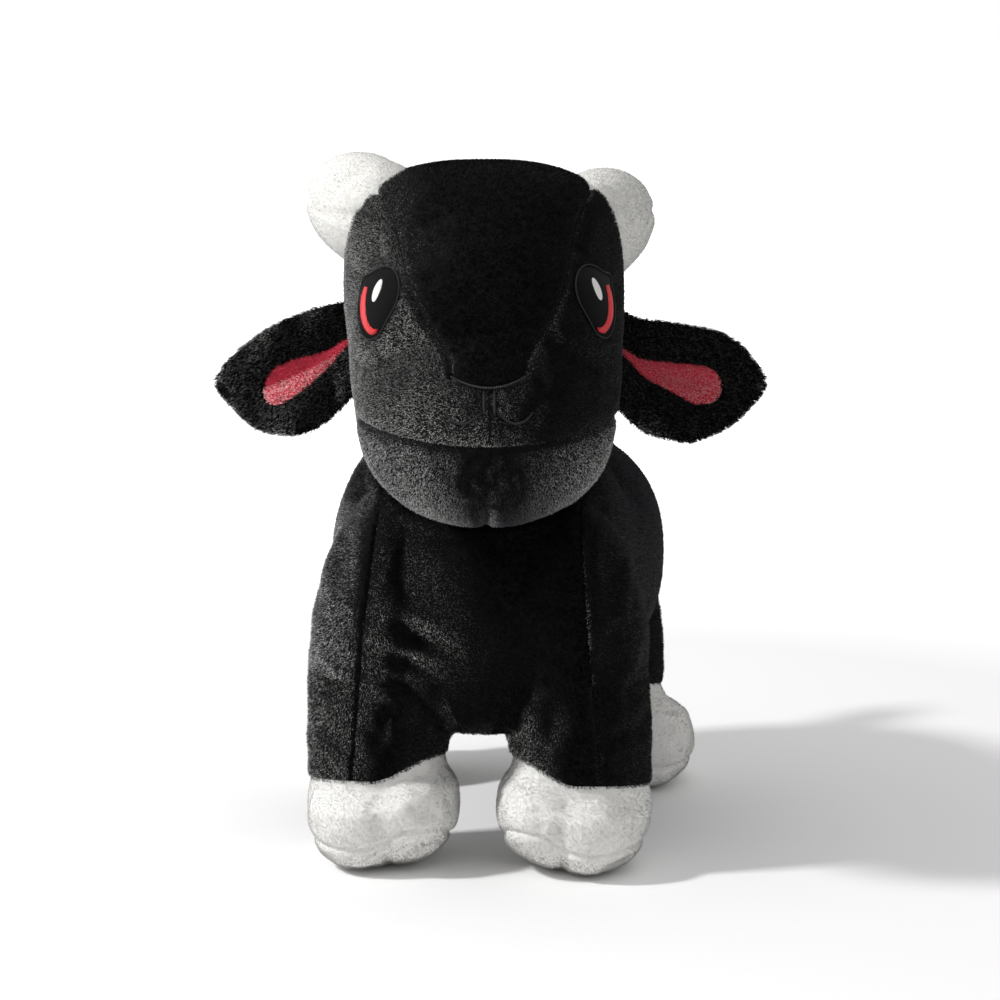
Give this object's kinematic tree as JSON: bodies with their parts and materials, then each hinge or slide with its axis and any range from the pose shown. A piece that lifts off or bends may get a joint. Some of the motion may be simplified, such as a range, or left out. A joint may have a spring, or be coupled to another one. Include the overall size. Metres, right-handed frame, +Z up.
{
  "type": "plush goat",
  "caption": "Standing stuffed goat toy in short black plush with pale grey horns and cloven hooves, pink-lined ears and stitched eyes; head turns and nods, ears and tail swing.",
  "frame": {"origin": "on the ground under the middle of the toy's bounding box", "axes": "+Z up, the goat looks along -Y, its left side is +X"},
  "size_m": [0.2319, 0.2884, 0.3],
  "materials": {
    "black_plush": "short-pile black plush",
    "grey_plush": "short-pile pale grey plush",
    "pink_plush": "short-pile pink plush",
    "filling": "polyester fibre filling",
    "black_thread": "black satin stitch",
    "red_thread": "red satin stitch",
    "white_thread": "white satin stitch"
  },
  "bodies": {
    "torso": {"belly_panel": "black_plush", "chest_panel": "black_plush", "hoof_sole_front_left": "grey_plush", "hoof_sole_front_right": "grey_plush", "hoof_sole_rear_left": "grey_plush", "hoof_sole_rear_right": "grey_plush", "hoof_stuffing_front_left": "filling", "hoof_stuffing_front_right": "filling", "hoof_stuffing_rear_left": "filling", "hoof_stuffing_rear_right": "filling", "hoof_upper_front_left": "grey_plush", "hoof_upper_front_right": "grey_plush", "hoof_upper_rear_left": "grey_plush", "hoof_upper_rear_right": "grey_plush", "leg_cover_front_left": "black_plush", "leg_cover_front_right": "black_plush", "leg_cover_rear_left": "black_plush", "leg_cover_rear_right": "black_plush", "side_panel_left": "black_plush", "side_panel_right": "black_plush", "torso_stuffing": "filling"},
    "head": {"chin_panel_left": "black_plush", "chin_panel_right": "black_plush", "eye_crescent_left": "red_thread", "eye_crescent_right": "red_thread", "eye_highlight_left": "white_thread", "eye_highlight_right": "white_thread", "eye_patch_left": "black_thread", "eye_patch_right": "black_thread", "face_gusset": "black_plush", "head_side_left": "black_plush", "head_side_right": "black_plush", "head_stuffing": "filling", "horn_cover_left": "grey_plush", "horn_cover_right": "grey_plush", "horn_stuffing_left": "filling", "horn_stuffing_right": "filling", "nose_line": "black_thread", "nostril_left": "black_thread", "nostril_right": "black_thread", "philtrum_line": "black_thread"},
    "ear_left": {"ear_back_left": "black_plush", "ear_front_left": "black_plush", "ear_lining_left": "pink_plush"},
    "ear_right": {"ear_back_right": "black_plush", "ear_front_right": "black_plush", "ear_lining_right": "pink_plush"},
    "neck": {"neck_wad": "filling"},
    "tail": {"tail_cover": "black_plush", "tail_stuffing": "filling"}
  },
  "joints": [
    {"name": "head_turn", "type": "hinge", "parent": "torso", "child": "neck", "pos_m": [0.00131, -0.05227, 0.2], "axis": [0, 0, 1], "range_deg": [-25, 25], "stiffness_Nm_per_rad": 1.5},
    {"name": "head_nod", "type": "hinge", "parent": "neck", "child": "head", "pos_m": [0.00131, -0.05227, 0.2], "axis": [0.9925, 0.1219, 0], "range_deg": [-10, 5], "stiffness_Nm_per_rad": 2.5},
    {"name": "ear_left_swing", "type": "hinge", "parent": "head", "child": "ear_left", "pos_m": [0.05659, -0.03138, 0.217], "axis": [0, 0, 1], "range_deg": [-30, 40], "stiffness_Nm_per_rad": 0.03},
    {"name": "ear_right_swing", "type": "hinge", "parent": "head", "child": "ear_right", "pos_m": [-0.05738, -0.04537, 0.217], "axis": [0, 0, 1], "range_deg": [-40, 30], "stiffness_Nm_per_rad": 0.03},
    {"name": "tail_lift", "type": "hinge", "parent": "torso", "child": "tail", "pos_m": [0.00131, 0.12504, 0.14929], "axis": [1, 0, 0], "range_deg": [-35, 25], "stiffness_Nm_per_rad": 0.04}
  ]
}
